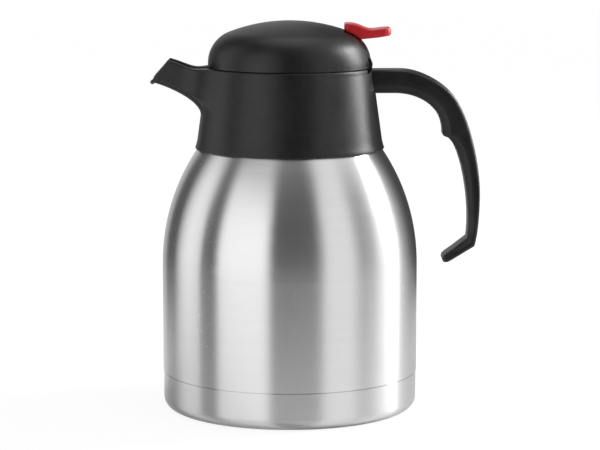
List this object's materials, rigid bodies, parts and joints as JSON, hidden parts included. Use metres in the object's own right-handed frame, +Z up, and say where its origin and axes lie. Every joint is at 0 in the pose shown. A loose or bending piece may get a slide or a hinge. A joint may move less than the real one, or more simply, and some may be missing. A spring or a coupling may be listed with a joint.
{
  "type": "thermal carafe with flip lid",
  "caption": "Double-walled steel vacuum carafe with a plastic collar and spout, a hooked handle, a hinged domed stopper lid and a thumb lever that lifts the pouring valve.",
  "frame": {"origin": "centre of the base's underside, on the body's axis", "axes": "+Z up along the body's axis, -X towards the spout, +X towards the handle, +Y across the body, away from the side that the picture shows"},
  "size_m": [0.1802, 0.14, 0.2128],
  "materials": {
    "brushed_steel": "satin, brushed round the body",
    "inner_steel": "drawn sheet, dull inside",
    "plain_steel": "bright turned and rolled wire",
    "getter_metal": "dull grey",
    "black_plastic": "moulded, fine grain, satin",
    "inner_plastic": "moulded, smooth",
    "red_plastic": "moulded, semi-gloss",
    "silicone": "smooth food-grade silicone"
  },
  "bodies": {
    "carafe": {"outer_shell": "brushed_steel", "inner_liner": "inner_steel", "inner_bottom": "inner_steel", "outer_bottom": "inner_steel", "getter": "getter_metal", "vacuum_plug": "getter_metal", "base_cup": "brushed_steel", "clamp_ring": "inner_plastic", "neck_seal": "silicone", "collar": "black_plastic", "collar_screws": "plain_steel", "pour_ring": "inner_plastic", "handle": "black_plastic", "handle_screws": "plain_steel", "hinge_pin": "plain_steel"},
    "lid": {"lid_dome": "black_plastic", "rear_cover": "black_plastic", "lid_plug": "inner_plastic", "stopper_seal": "silicone", "lid_screws": "plain_steel", "lever_pin": "plain_steel", "valve_spring": "plain_steel"},
    "lever": {"thumb_lever": "red_plastic"},
    "valve": {"valve_stem": "plain_steel", "valve_disc": "inner_plastic", "valve_seal": "silicone", "lift_washer": "plain_steel", "stem_clip": "plain_steel"}
  },
  "joints": [
    {"name": "lid_hinge", "type": "hinge", "parent": "carafe", "child": "lid", "pos_m": [0.0406, 0, 0.1897], "axis": [0, 1, 0], "range_deg": [0, 50]},
    {"name": "lever_press", "type": "hinge", "parent": "lid", "child": "lever", "pos_m": [0.0366, 0, 0.2002], "axis": [0, 1, 0], "range_deg": [0, 9], "stiffness_Nm_per_rad": 1.1, "springref_deg": -8.02},
    {"name": "valve_lift", "type": "slide", "parent": "lid", "child": "valve", "axis": [0, 0, 1], "range_m": [0, 0.0058], "deforming": ["valve_spring"]}
  ],
  "couplings": [
    {"joint": "valve_lift", "follows": "lever_press", "m_per_rad": 0.03665}
  ]
}
